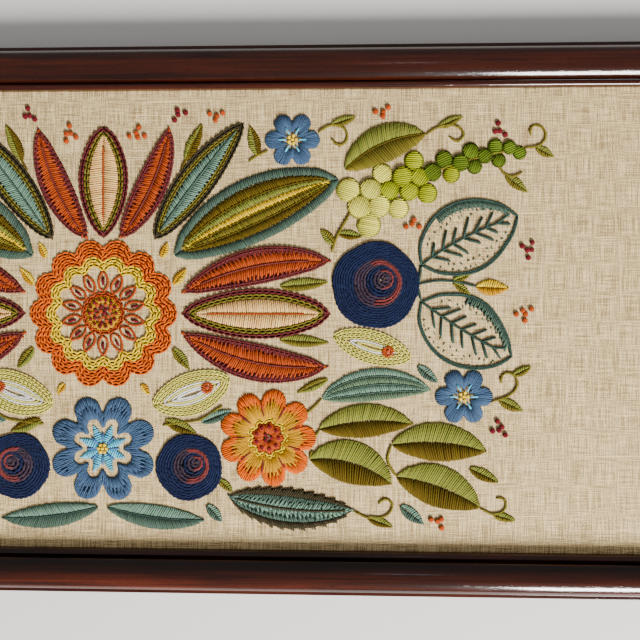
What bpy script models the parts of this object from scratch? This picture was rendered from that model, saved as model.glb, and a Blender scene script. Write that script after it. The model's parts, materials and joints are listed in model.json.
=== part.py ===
"""A crewel embroidery panel: linen worked in wool, held in its moulded wooden frame, lying on its back.

Metres, +Z up. The stitched face looks up, its top edge is towards +Y and its right edge towards +X.
The origin is at the middle of the frame's back, on the surface that the panel lies on.
The stitched motifs are low raised pads on the linen, in a garland that is the same on both sides
of the middle, so each row of the tables below stands for the right-hand half.
"""

import math
from collections import namedtuple

import bmesh
import bpy

MM = 0.001

# Driving sizes, in millimetres
PANEL_WIDTH = 800.0
PANEL_HEIGHT = 360.0
RAIL_WIDTH = 28.0
RAIL_CREST = 22.0
PIECE_GAP = 0.3

# The rail's section: u runs from the outer edge inwards, z up from the back
FILLET_WIDTH = 2.6
FILLET_TOP = 15.4
BODY_START = 3.2
BODY_END = 22.6
BODY_RISE = 4.1
BODY_STEPS = 12
BEAD_START = 23.1
BEAD_BASE = 12.9
BEAD_RISE = 2.2
BEAD_STEPS = 6

# The linen sits in a groove under the rail's lip
LINEN_FRONT = 10.0
LINEN_THICKNESS = 2.0
GROOVE_DEPTH = 6.0
LINEN_TUCK = 5.0

# The raised stitching
PAD_EDGE = 0.5
PAD_CROWN = 1.4
PAD_MIDRIB = 1.1
LEAF_STATIONS = 13
SPRAY_STATIONS = 17
POINTS_PER_LOBE = 6

# Colours, linear, and how rough each surface is
COLOURS = {
    "mahogany": (0.048, 0.015, 0.009),
    "linen": (0.720, 0.520, 0.280),
    "peach": (0.800, 0.500, 0.270),
    "maroon": (0.152, 0.027, 0.027),
    "teal": (0.066, 0.126, 0.092),
    "sage": (0.293, 0.349, 0.061),
    "grey_green": (0.129, 0.274, 0.178),
    "cream": (0.780, 0.740, 0.300),
    "olive": (0.114, 0.086, 0.011),
    "brown_green": (0.051, 0.040, 0.020),
    "orange": (0.682, 0.081, 0.006),
    "slate_blue": (0.053, 0.107, 0.227),
    "navy": (0.010, 0.016, 0.051),
    "lime": (0.463, 0.486, 0.020),
}
ROUGHNESS = {"mahogany": 0.25}
WOOL_ROUGHNESS = 0.9

# Leaves and petals: base and tip points, then how far the edge bulges to the left and right of the
# line from base to tip, how far that line bends, where along it the shape is fullest, and how round
# its ends are
Leaf = namedtuple("Leaf", "name base tip left right bend full blunt colour")
LEAVES = [
    Leaf("crest_petal_middle", (0, 54), (0, 129), 17, 17, 0.00, 0.52, 0.62, "peach"),
    Leaf("crest_petal", (11, 54), (44, 127), 9.5, 11.5, -0.05, 0.48, 0.66, "maroon"),
    Leaf("serrated_leaf", (34, 53), (94, 131), 9.5, 14.5, 0.04, 0.48, 0.68, "teal"),
    Leaf("striped_leaf", (47, 42), (158, 93), 25, 18, 0.02, 0.50, 0.60, "sage"),
    Leaf("tulip_petal_upper", (53, 18), (151, 39), 9, 15.5, 0.10, 0.52, 0.62, "maroon"),
    Leaf("tulip_petal_middle", (52, 4), (152, 4), 17, 17, 0.00, 0.52, 0.58, "peach"),
    Leaf("tulip_petal_lower", (53, -9), (149, -31), 14.5, 10.5, -0.10, 0.52, 0.62, "maroon"),
    Leaf("veined_leaf_upper", (211, 36), (274, 68), 24, 23, 0.04, 0.48, 0.68, "grey_green"),
    Leaf("veined_leaf_lower", (211, 12), (270, -24), 24, 22, -0.04, 0.48, 0.68, "grey_green"),
    Leaf("grey_leaf", (146, -52), (217, -46), 12, 10, 0.08, 0.48, 0.66, "grey_green"),
    Leaf("cream_bud_inner", (85, -38), (33, -57), 16, 12.5, 0.00, 0.50, 0.58, "cream"),
    Leaf("cream_bud_outer", (153, -10), (205, -25), 11, 11.5, 0.00, 0.50, 0.58, "cream"),
    Leaf("olive_leaf_a", (144, -72), (206, -68), 9, 14, 0.10, 0.48, 0.70, "olive"),
    Leaf("olive_leaf_b", (138, -92), (192, -108), 15, 14, 0.10, 0.48, 0.70, "olive"),
    Leaf("olive_leaf_c", (192, -82), (254, -86), 12, 14, 0.08, 0.48, 0.70, "olive"),
    Leaf("olive_leaf_d", (195, -103), (250, -123), 15, 13, 0.05, 0.48, 0.70, "olive"),
    Leaf("brown_leaf", (85, -117), (166, -125), 12.5, 14, -0.04, 0.48, 0.66, "brown_green"),
    Leaf("foot_leaf", (3, -125), (68, -133), 10, 6.5, -0.06, 0.50, 0.66, "teal"),
    Leaf("spray_leaf", (161, 99), (214, 122), 14, 11.5, 0.08, 0.50, 0.66, "sage"),
]

# Flowers: centre, reach, number of lobes, how deep the notches between them are, and the turn of the
# first lobe in degrees
Flower = namedtuple("Flower", "name centre reach lobes notch turn colour")
FLOWERS = [
    Flower("great_bloom", (0, 4), 50, 14, 0.15, 0, "orange"),
    Flower("star_flower", (0, -86), 36.5, 8, 0.34, 22.5, "slate_blue"),
    Flower("daisy", (110, -78), 32.5, 9, 0.24, 0, "orange"),
    Flower("rose_upper", (181, 23), 29, 5, 0.05, 10, "navy"),
    Flower("rose_lower", (58, -98), 22.5, 5, 0.05, 40, "navy"),
    Flower("small_star_upper", (126, 119), 18.5, 6, 0.34, 0, "slate_blue"),
    Flower("small_star_lower", (239, -50), 19, 6, 0.34, 0, "slate_blue"),
]

# The berry spray is a tapering strip with scalloped edges
SPRAY_BASE = (163, 70)
SPRAY_TIP = (278, 113)
SPRAY_BEND = 0.05
SPRAY_ROOT_HALF = 21.5
SPRAY_TIP_HALF = 5.0
SPRAY_LOBES = 5
SPRAY_SCALLOP = 0.10


def clear_scene():
    for old in list(bpy.data.objects):
        bpy.data.objects.remove(old)


def finish_material(colour):
    material = bpy.data.materials.get(colour)
    if material:
        return material
    material = bpy.data.materials.new(colour)
    material.use_nodes = True
    shader = material.node_tree.nodes["Principled BSDF"]
    shader.inputs["Base Color"].default_value = (*COLOURS[colour], 1.0)
    shader.inputs["Roughness"].default_value = ROUGHNESS.get(colour, WOOL_ROUGHNESS)
    shader.inputs["Metallic"].default_value = 0.0
    return material


def add_piece(name, mesh, colour, smooth=True):
    """Puts a bmesh, in millimetres, into the scene as one named piece."""
    bmesh.ops.scale(mesh, vec=(MM, MM, MM), verts=mesh.verts)
    bmesh.ops.recalc_face_normals(mesh, faces=mesh.faces)
    data = bpy.data.meshes.new(name)
    mesh.to_mesh(data)
    mesh.free()
    if smooth:
        data.shade_smooth()
        data.set_sharp_from_angle(angle=math.radians(40))
    data.materials.append(finish_material(colour))
    piece = bpy.data.objects.new(name, data)
    bpy.context.scene.collection.objects.link(piece)
    return piece


def arc(start_u, end_u, base, rise, steps):
    """Points over a half ellipse from start_u to end_u, both at the height base."""
    middle = (start_u + end_u) / 2
    half = (end_u - start_u) / 2
    angles = [math.pi * (1 - k / steps) for k in range(steps + 1)]
    return [(middle + half * math.cos(a), base + rise * math.sin(a)) for a in angles]


def bow(start_u, end_u, crest, rise, steps):
    """Points over a shallow circular arc, which is highest half way between its ends."""
    half = (end_u - start_u) / 2
    radius = (half**2 + rise**2) / (2 * rise)
    reach = math.asin(half / radius)
    angles = [reach * (2 * k / steps - 1) for k in range(steps + 1)]
    middle = (start_u + end_u) / 2
    return [(middle + radius * math.sin(a), crest - radius + radius * math.cos(a)) for a in angles]


def rail_section():
    """The moulding's outline: outer fillet, broad round body, inner bead, lip, groove and back."""
    lip_bottom = LINEN_FRONT + PIECE_GAP
    groove_bottom = LINEN_FRONT - LINEN_THICKNESS - PIECE_GAP
    groove_wall = RAIL_WIDTH - GROOVE_DEPTH
    section = [(0.0, 0.0), (0.0, FILLET_TOP - 0.8), (0.6, FILLET_TOP), (FILLET_WIDTH, FILLET_TOP)]
    section += bow(BODY_START, BODY_END, RAIL_CREST, BODY_RISE, BODY_STEPS)
    section += arc(BEAD_START, RAIL_WIDTH, BEAD_BASE, BEAD_RISE, BEAD_STEPS)
    section += [
        (RAIL_WIDTH, lip_bottom),
        (groove_wall, lip_bottom),
        (groove_wall, groove_bottom),
        (RAIL_WIDTH, groove_bottom),
        (RAIL_WIDTH, 0.0),
    ]
    return section


def add_rail(name, length, offset, turn):
    """One mitred rail, made along +X with its outer edge at -Y, then turned into its place."""
    section = rail_section()
    mitre_gap = PIECE_GAP / math.sqrt(2)
    mesh = bmesh.new()
    rings = []
    for side in (-1, 1):
        ends = [side * (length / 2 - u - mitre_gap) for u, z in section]
        ring = [mesh.verts.new((x, u - offset, z)) for x, (u, z) in zip(ends, section)]
        rings.append(ring)
        mesh.faces.new(ring)
    count = len(section)
    for k in range(count):
        after = (k + 1) % count
        mesh.faces.new((rings[0][k], rings[0][after], rings[1][after], rings[1][k]))
    rail = add_piece(name, mesh, "mahogany")
    rail.rotation_euler = (0.0, 0.0, turn)
    return rail


def add_frame():
    half_turn = math.pi
    quarter_turn = math.pi / 2
    add_rail("rail_bottom", PANEL_WIDTH, PANEL_HEIGHT / 2, 0.0)
    add_rail("rail_right", PANEL_HEIGHT, PANEL_WIDTH / 2, quarter_turn)
    add_rail("rail_top", PANEL_WIDTH, PANEL_HEIGHT / 2, half_turn)
    add_rail("rail_left", PANEL_HEIGHT, PANEL_WIDTH / 2, -quarter_turn)


def add_linen():
    """The stretched ground cloth, tucked into the groove on all four sides."""
    hidden = RAIL_WIDTH - LINEN_TUCK
    width = PANEL_WIDTH - 2 * hidden
    height = PANEL_HEIGHT - 2 * hidden
    mesh = bmesh.new()
    bmesh.ops.create_cube(mesh, size=1.0)
    bmesh.ops.scale(mesh, vec=(width, height, LINEN_THICKNESS), verts=mesh.verts)
    middle = LINEN_FRONT - LINEN_THICKNESS / 2
    bmesh.ops.translate(mesh, vec=(0.0, 0.0, middle), verts=mesh.verts)
    return add_piece("linen", mesh, "linen", smooth=False)


def spine_point(base, tip, bend, t):
    """A point on the bent line from base to tip, and the direction to its left."""
    run = (tip[0] - base[0], tip[1] - base[1])
    left = (-run[1], run[0])
    sway = 4 * bend * t * (1 - t)
    point = (base[0] + run[0] * t + left[0] * sway, base[1] + run[1] * t + left[1] * sway)
    slope = 4 * bend * (1 - 2 * t)
    forward = (run[0] + left[0] * slope, run[1] + left[1] * slope)
    length = math.hypot(*forward)
    return point, (-forward[1] / length, forward[0] / length)


def leaf_width(t, full, blunt):
    """How much of its full width a leaf has at t: none at both ends, all of it at full.

    The smaller blunt is, the rounder its two ends are.
    """
    power = math.log(0.5) / math.log(full)
    return max(math.sin(math.pi * t**power), 0.0) ** blunt


def strip_pad(name, base, tip, bend, widths, colour, side):
    """A low pad between two edges, given as left and right widths at even steps of a spine.

    Its ends come to points. Its back is flat, and its face is raised either side of a midrib.
    """
    floor = LINEN_FRONT + PIECE_GAP
    edge, crown, midrib = floor + PAD_EDGE, floor + PAD_CROWN, floor + PAD_MIDRIB
    mesh = bmesh.new()

    def vertex(point, z):
        return mesh.verts.new((side * point[0], point[1], z))

    steps = len(widths) - 1
    tops, floors = [], []
    for k, (left_width, right_width) in enumerate(widths):
        point, left = spine_point(base, tip, bend, k / steps)
        if k in (0, steps):
            tops.append([vertex(point, edge)])
            floors.append([vertex(point, floor)])
            continue
        across = [left_width, left_width * 0.5, 0.0, -right_width * 0.5, -right_width]
        places = [(point[0] + left[0] * w, point[1] + left[1] * w) for w in across]
        heights = [edge, crown, midrib, crown, edge]
        tops.append([vertex(p, z) for p, z in zip(places, heights)])
        floors.append([vertex(places[0], floor), vertex(places[-1], floor)])

    for rows in (tops, floors):
        for here, there in zip(rows, rows[1:]):
            wide = max(len(here), len(there))
            first = here * wide if len(here) == 1 else here
            second = there * wide if len(there) == 1 else there
            for j in range(wide - 1):
                corners = [first[j], first[j + 1], second[j + 1], second[j]]
                mesh.faces.new(list(dict.fromkeys(corners)))
    for end in (0, -1):
        for k in range(steps):
            wall = [tops[k][end], tops[k + 1][end], floors[k + 1][end], floors[k][end]]
            mesh.faces.new(wall)
    return add_piece(name, mesh, colour)


def add_leaf(leaf, name, side):
    steps = LEAF_STATIONS - 1
    shares = [leaf_width(k / steps, leaf.full, leaf.blunt) for k in range(LEAF_STATIONS)]
    widths = [(leaf.left * share, leaf.right * share) for share in shares]
    return strip_pad(name, leaf.base, leaf.tip, leaf.bend, widths, leaf.colour, side)


def add_berry_spray(name, side):
    steps = SPRAY_STATIONS - 1
    widths = []
    for k in range(SPRAY_STATIONS):
        t = k / steps
        half = SPRAY_ROOT_HALF + (SPRAY_TIP_HALF - SPRAY_ROOT_HALF) * t
        scallop = 1 - SPRAY_SCALLOP * abs(math.cos(math.pi * SPRAY_LOBES * t))
        widths.append((half * scallop, half * scallop))
    return strip_pad(name, SPRAY_BASE, SPRAY_TIP, SPRAY_BEND, widths, "lime", side)


def add_flower(flower, name, side):
    """A low round pad with a lobed rim: a fan on its back, and rings that crown over its face."""
    floor = LINEN_FRONT + PIECE_GAP
    rings = [(1.0, PAD_EDGE), (0.72, PAD_CROWN), (0.36, PAD_MIDRIB)]
    count = flower.lobes * POINTS_PER_LOBE
    centre_x, centre_y = flower.centre
    turn = math.radians(flower.turn)
    mesh = bmesh.new()

    def ring_of(share, z, notch):
        ring = []
        for k in range(count):
            angle = 2 * math.pi * k / count
            fullness = abs(math.cos(flower.lobes * angle / 2)) ** 0.7
            reach = flower.reach * share * (1 - notch * (1 - fullness))
            x = centre_x + reach * math.cos(angle + turn)
            y = centre_y + reach * math.sin(angle + turn)
            ring.append(mesh.verts.new((side * x, y, z)))
        return ring

    levels = [ring_of(1.0, floor, flower.notch)]
    levels += [ring_of(share, floor + rise, flower.notch * share) for share, rise in rings]
    for lower, upper in zip(levels, levels[1:]):
        for k in range(count):
            after = (k + 1) % count
            mesh.faces.new((lower[k], lower[after], upper[after], upper[k]))
    for ring, rise in ((levels[0], 0.0), (levels[-1], PAD_CROWN)):
        hub = mesh.verts.new((side * centre_x, centre_y, floor + rise))
        for k in range(count):
            mesh.faces.new((hub, ring[k], ring[(k + 1) % count]))
    return add_piece(name, mesh, flower.colour)


def add_both_sides(build, name, place, *details):
    """Adds one piece on the middle line, or a right-hand and a left-hand one away from it."""
    if place[0] == 0:
        build(*details, name, 1)
        return
    for side, word in ((1, "right"), (-1, "left")):
        build(*details, f"{name}_{word}", side)


def add_garland():
    for leaf in LEAVES:
        add_both_sides(add_leaf, leaf.name, leaf.base, leaf)
    for flower in FLOWERS:
        add_both_sides(add_flower, flower.name, flower.centre, flower)
    add_both_sides(add_berry_spray, "berry_spray", SPRAY_BASE)


def main():
    clear_scene()
    add_frame()
    add_linen()
    add_garland()


main()
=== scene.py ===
"""The looks of the crewel embroidery panel: wool stitches on linen, in a varnished mahogany frame.

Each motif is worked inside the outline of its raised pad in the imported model, so the stitches sit
where the pads are. Stitches are laid out in millimetres and become meshes in metres.
"""

import json
import math

import bpy
import numpy as np
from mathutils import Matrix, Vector


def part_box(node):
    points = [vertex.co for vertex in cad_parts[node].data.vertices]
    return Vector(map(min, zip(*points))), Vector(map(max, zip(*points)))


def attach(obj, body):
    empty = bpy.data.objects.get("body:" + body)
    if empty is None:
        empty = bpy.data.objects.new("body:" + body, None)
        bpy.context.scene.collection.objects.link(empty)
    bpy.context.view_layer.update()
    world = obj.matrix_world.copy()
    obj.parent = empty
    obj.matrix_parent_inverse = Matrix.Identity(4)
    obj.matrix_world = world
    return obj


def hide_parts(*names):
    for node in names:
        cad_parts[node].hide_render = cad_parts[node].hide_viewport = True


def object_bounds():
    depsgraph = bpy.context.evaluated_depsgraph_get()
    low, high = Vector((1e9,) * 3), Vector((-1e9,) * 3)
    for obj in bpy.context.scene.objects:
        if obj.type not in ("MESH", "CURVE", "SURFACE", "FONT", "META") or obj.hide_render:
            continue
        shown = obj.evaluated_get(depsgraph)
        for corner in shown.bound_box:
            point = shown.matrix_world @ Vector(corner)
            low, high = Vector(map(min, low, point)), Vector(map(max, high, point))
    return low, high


bl_info = {
    "name": "Crewel embroidery panel",
    "version": (1, 0, 0),
    "blender": (4, 5, 0),
    "location": "3D View > Sidebar > Crewel",
    "description": "Dresses the packed panel: frame, linen, wool stitches, camera and light",
    "category": "Add Mesh",
}

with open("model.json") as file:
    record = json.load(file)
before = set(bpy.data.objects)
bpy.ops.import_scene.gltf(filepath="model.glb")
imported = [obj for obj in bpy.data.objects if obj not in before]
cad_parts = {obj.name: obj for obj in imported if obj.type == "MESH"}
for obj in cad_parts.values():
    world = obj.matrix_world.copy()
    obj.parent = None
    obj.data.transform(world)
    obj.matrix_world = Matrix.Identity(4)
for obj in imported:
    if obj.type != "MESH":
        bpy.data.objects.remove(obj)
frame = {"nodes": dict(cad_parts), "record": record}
CAD_BOX = [list(corner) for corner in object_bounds()]

MM = 0.001
BODY = "root"
SIDES = ("right", "left")

LINEN_LOW, LINEN_HIGH = (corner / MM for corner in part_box("linen"))
LINEN_TOP = LINEN_HIGH.z
RAIL_LOW, RAIL_HIGH = (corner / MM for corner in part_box("rail_bottom"))
PANEL_WIDTH = 2 * (CAD_BOX[1][0] / MM)
PANEL_HEIGHT = 2 * (CAD_BOX[1][1] / MM)


def linear(*channels):
    """A colour given on screen, 0 to 255, as the linear values that shaders use."""
    shares = [channel / 255 for channel in channels]
    return tuple(s / 12.92 if s <= 0.04045 else ((s + 0.055) / 1.055) ** 2.4 for s in shares)


def size_value(name, text, value, low=0.0, high=1000.0):
    return bpy.props.FloatProperty(name=name, description=text, default=value, min=low, max=high, unit="NONE")


def colour_value(name, text, *channels):
    return bpy.props.FloatVectorProperty(
        name=name, description=text, subtype="COLOR", size=3, min=0.0, max=1.0, default=linear(*channels)
    )


class WoolColours(bpy.types.PropertyGroup):
    """The crewel wools. Their names are the ones that the stitch recipes use."""

    dark_olive: colour_value("Dark olive", "Lower halves of the olive leaves", 98, 80, 14)
    olive: colour_value("Olive", "Stems, stripes and petal borders", 122, 110, 34)
    sage: colour_value("Sage", "Upper halves of the olive leaves", 134, 138, 54)
    dark_teal: colour_value("Dark teal", "Outlines of the veined leaves", 54, 77, 68)
    teal: colour_value("Teal", "Borders of the striped leaves", 76, 98, 84)
    light_teal: colour_value("Light teal", "Hearts of the serrated leaves", 114, 146, 126)
    grey_green: colour_value("Grey green", "The long grey leaves", 102, 126, 98)
    slate_blue: colour_value("Slate blue", "Star flowers", 68, 92, 122)
    mid_blue: colour_value("Mid blue", "Inner bands of the star flowers", 80, 118, 168)
    sky_blue: colour_value("Sky blue", "Hearts of the star flowers", 100, 200, 232)
    navy: colour_value("Navy", "Outer petals of the roses", 26, 34, 64)
    plum: colour_value("Plum brown", "Middle petals of the roses", 61, 48, 62)
    brick: colour_value("Brick", "Hearts of the roses, seams", 121, 54, 51)
    maroon: colour_value("Maroon", "Borders of the tulips", 109, 45, 46)
    dark_red: colour_value("Dark red", "Knots and dashes", 113, 28, 37)
    rust: colour_value("Rust", "Outlined petals of the bloom", 182, 74, 26)
    orange: colour_value("Orange", "Rim of the bloom, daisies", 226, 96, 0)
    peach: colour_value("Peach", "Middle petals of the tulips", 255, 200, 124)
    gold: colour_value("Gold", "Daisies and calyxes", 200, 143, 13)
    yellow: colour_value("Yellow", "Stripes and the bloom's inner rows", 252, 208, 30)
    cream: colour_value("Cream", "Outer rows of the buds", 236, 224, 106)
    white: colour_value("Off white", "Hearts of the buds", 238, 234, 224)
    pale_lime: colour_value("Pale lime", "Berries nearest the stem's root", 238, 230, 92)
    lime: colour_value("Lime", "Berries half way along", 176, 184, 20)
    dark_lime: colour_value("Dark lime", "Berries at the tip", 101, 121, 29)
    dark_brown: colour_value("Dark brown", "Serrated edges", 64, 57, 38)


class StitchSizes(bpy.types.PropertyGroup):
    """Sizes of the strands and stitches, in millimetres."""

    strand: size_value("Strand", "Width of one strand of wool lying flat", 1.42)
    height: size_value("Strand height", "How thick a flattened strand is", 1.1)
    pitch: size_value("Satin pitch", "Distance between satin stitches", 1.42)
    lift: size_value("Lift", "How far a satin stitch's middle rises over the linen", 0.72)
    chain_link: size_value("Chain link", "Length of one link of chain stitch", 4.3)
    chain_width: size_value("Chain width", "Width of a row of chain stitch", 3.6)
    stem_width: size_value("Stem width", "Width of a line of stem stitch", 1.5)
    knot: size_value("Knot", "Width of a French knot on the bare linen", 3.8)


class FrameLooks(bpy.types.PropertyGroup):
    """The moulding's section, in millimetres, and its colours."""

    fillet_width: size_value("Fillet", "Width of the flat along the outer edge", 2.6)
    fillet_top: size_value("Fillet height", "Height of the flat along the outer edge", 15.4)
    body_start: size_value("Body start", "Where the round body starts, from the outer edge", 3.2)
    body_end: size_value("Body end", "Where the round body ends", 22.85)
    body_rise: size_value("Body rise", "How far the round body bows up from its feet", 4.4)
    bead_start: size_value("Inner bead", "Where the inner bead starts", 23.3)
    bead_base: size_value("Inner bead base", "Height at which the inner bead springs", 12.9)
    bead_rise: size_value("Inner bead rise", "How far the inner bead stands up", 2.2)
    groove: size_value("Groove depth", "How deep the linen's groove is", 6.0)
    dark: colour_value("Dark wood", "Between the streaks of the grain", 41, 14, 8)
    red: colour_value("Red wood", "Streaks of the grain", 84, 32, 15)


class LinenLooks(bpy.types.PropertyGroup):
    """The ground cloth's weave and colours."""

    pitch: size_value("Thread pitch", "Distance between threads, in millimetres", 0.80)
    light: colour_value("Light thread", "The palest threads", 255, 226, 168)
    dark: colour_value("Dark thread", "The darkest threads", 164, 136, 92)


class StageLooks(bpy.types.PropertyGroup):
    """Floor, light and camera."""

    floor: colour_value("Floor", "The plain floor", 246, 245, 243)
    key_power: size_value("Key light", "Power of the window's light, in watts", 222.0)
    ceiling_power: size_value("Ceiling light", "Power of the faint light overhead, in watts", 0.13)
    sky: size_value("Sky", "Strength of the light from all around", 0.31)
    camera_height: size_value("Camera height", "From the floor, in millimetres", 463.0)
    camera_x: size_value("Camera X", "To the right of the panel's middle, in millimetres", 158.8)


SETTINGS = {
    "crewel_wools": WoolColours,
    "crewel_stitches": StitchSizes,
    "crewel_frame": FrameLooks,
    "crewel_linen": LinenLooks,
    "crewel_stage": StageLooks,
}


class Wire:
    """A socket in a shader. Sums and products of wires and numbers add Math nodes."""

    def __init__(self, finish, socket):
        self.finish = finish
        self.socket = socket

    def maths(self, operation, *values):
        inputs = dict(enumerate(values))
        return self.finish.add("ShaderNodeMath", {"operation": operation}, inputs)

    def __add__(self, other):
        return self.maths("ADD", self, other)

    def __radd__(self, other):
        return self.maths("ADD", other, self)

    def __sub__(self, other):
        return self.maths("SUBTRACT", self, other)

    def __rsub__(self, other):
        return self.maths("SUBTRACT", other, self)

    def __mul__(self, other):
        return self.maths("MULTIPLY", self, other)

    def __rmul__(self, other):
        return self.maths("MULTIPLY", other, self)

    def above(self, edge, softness):
        """0 below the edge and 1 above it, changing over the softness."""
        settings = {"interpolation_type": "SMOOTHSTEP"}
        inputs = {"Value": self, "From Min": edge - softness, "From Max": edge + softness}
        return self.finish.add("ShaderNodeMapRange", settings, inputs)

    def wave(self):
        return self.maths("SINE", self)

    def size(self):
        return self.maths("ABSOLUTE", self)


class Finish:
    """A procedural material under construction, with one Principled shader."""

    def __init__(self, name, **fixed):
        self.material = bpy.data.materials.new(name)
        self.material.use_nodes = True
        self.tree = self.material.node_tree
        self.shader = self.tree.nodes["Principled BSDF"]
        for socket, value in fixed.items():
            self.shader.inputs[socket.replace("_", " ")].default_value = value

    def add(self, kind, settings=None, inputs=None, output=0):
        """Adds a node: its settings first, then the values or wires of its sockets."""
        node = self.tree.nodes.new(kind)
        settings = dict(settings or {})
        stops = settings.pop("stops", None)
        for name, value in settings.items():
            setattr(node, name, value)
        if stops:
            ramp = node.color_ramp.elements
            while len(ramp) < len(stops):
                ramp.new(0.5)
            for element, (place, colour) in zip(ramp, stops):
                element.position = place
                element.color = (*colour, 1.0)
        for name, value in (inputs or {}).items():
            if isinstance(value, Wire):
                self.tree.links.new(value.socket, node.inputs[name])
            else:
                node.inputs[name].default_value = value
        return Wire(self, node.outputs[output])

    def blend(self, share, first, second, mode="MIX"):
        """Two colours mixed: sockets 6 and 7 are a Mix node's colours, and output 2 the result."""
        settings = {"data_type": "RGBA", "blend_type": mode}
        return self.add("ShaderNodeMix", settings, {0: share, 6: first, 7: second}, 2)

    def noise(self, place, scale, detail=2.0, roughness=0.5):
        inputs = {"Vector": place, "Scale": scale, "Detail": detail, "Roughness": roughness}
        return self.add("ShaderNodeTexNoise", None, inputs)

    def stretched(self, place, along, across, up=1.0):
        """The place scaled by a factor for each axis."""
        scale = {0: place, 1: (along, across, up)}
        return self.add("ShaderNodeVectorMath", {"operation": "MULTIPLY"}, scale)

    def feed(self, socket, wire):
        self.tree.links.new(wire.socket, self.shader.inputs[socket])

    def bump(self, height, strength, distance):
        inputs = {"Height": height, "Strength": strength, "Distance": distance}
        self.feed("Normal", self.add("ShaderNodeBump", None, inputs))


def opaque(colour):
    return (*colour, 1.0)


def wool_finish():
    """Wool: each stitch's own colour, which carries painted shade, with painted shade in the twist's grooves
    and a fuzzy, twisted bump. All the wool pieces share it.
    """
    found = bpy.data.materials.get("crewel_wool")
    if found:
        return found
    finish = Finish("crewel_wool", Roughness=0.9, Sheen_Weight=0.02, Sheen_Roughness=0.5)
    finish.shader.inputs["Specular IOR Level"].default_value = 0.1
    colour = finish.add("ShaderNodeAttribute", {"attribute_name": "wool"})
    lay = finish.add("ShaderNodeUVMap", {"uv_map": "lay"})
    turns = finish.add("ShaderNodeSeparateXYZ", None, {0: lay})
    across = Wire(finish, turns.socket.node.outputs["Y"])
    ply = ((turns * 3.6 + across * 2.0) * math.tau).wave() * 0.5 + 0.5
    place = finish.add("ShaderNodeTexCoord", output=3)
    fuzz = finish.noise(place, 1300.0, 3.0, 0.65)
    # The ply wave darkens the colour in the twist's grooves: painted shade. The fuzz is tone that differs at
    # random.
    tone = ply * 0.14 + fuzz * 0.5 + 0.68
    grey = finish.add("ShaderNodeCombineColor", None, {0: tone, 1: tone, 2: tone})
    finish.feed("Base Color", finish.blend(1.0, colour, grey, "MULTIPLY"))
    finish.bump(ply * 0.5 + fuzz, 0.4, 0.0003)
    return finish.material


def linen_finish(looks):
    """Plain weave: warp and weft threads, each of its own shade, with slubs and a few pale picks."""
    finish = Finish("natural_linen", Roughness=0.92, Sheen_Weight=0.05, Sheen_Roughness=0.5)
    finish.shader.inputs["Specular IOR Level"].default_value = 0.15
    place = finish.add("ShaderNodeTexCoord", output=3)
    parts = finish.add("ShaderNodeSeparateXYZ", None, {0: place})
    x, y = parts, Wire(finish, parts.socket.node.outputs["Y"])
    turn = math.pi / (looks.pitch * MM)
    wobble = finish.noise(place, 55.0, 2.0) * 1.3
    warp_wave, weft_wave = (x * turn + wobble).wave(), (y * turn + wobble).wave()
    over = warp_wave * weft_wave
    warp = finish.noise(finish.stretched(place, 1700.0, 55.0), 1.0, 1.0, 0.6) - 0.5
    weft = finish.noise(finish.stretched(place, 62.0, 1700.0), 1.0, 1.0, 0.6) - 0.5
    broad_warp = finish.noise(finish.stretched(place, 480.0, 7.0), 1.0, 2.0) - 0.5
    broad_weft = finish.noise(finish.stretched(place, 12.0, 480.0), 1.0, 2.0) - 0.5
    nub = finish.noise(place, 1500.0, 1.0) - 0.5
    picks = finish.noise(finish.stretched(place, 13.0, 900.0), 1.0, 1.0).above(0.71, 0.03)
    ends = finish.noise(finish.stretched(place, 900.0, 14.0), 1.0, 1.0).above(0.72, 0.03)
    mottle = finish.noise(place, 14.0, 3.0) - 0.5
    threads = warp * 3.0 + weft * 2.4 + nub * 2.6
    shade = threads + broad_warp * 0.3 + broad_weft * 0.1 + mottle * 0.2 + over * 0.1
    shade = shade + picks * 1.0 + ends * 0.8 + 0.46
    middle = [(a + b) / 2 for a, b in zip(looks.dark, looks.light)]
    stops = [(0.0, looks.dark), (0.5, middle), (1.0, looks.light)]
    finish.feed("Base Color", finish.add("ShaderNodeValToRGB", {"stops": stops}, {0: shade}))
    height = warp_wave.size() + weft_wave.size() + over * 0.6 + threads * 1.2 + picks
    finish.bump(height, 0.35, 0.00016)
    return finish.material


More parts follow.
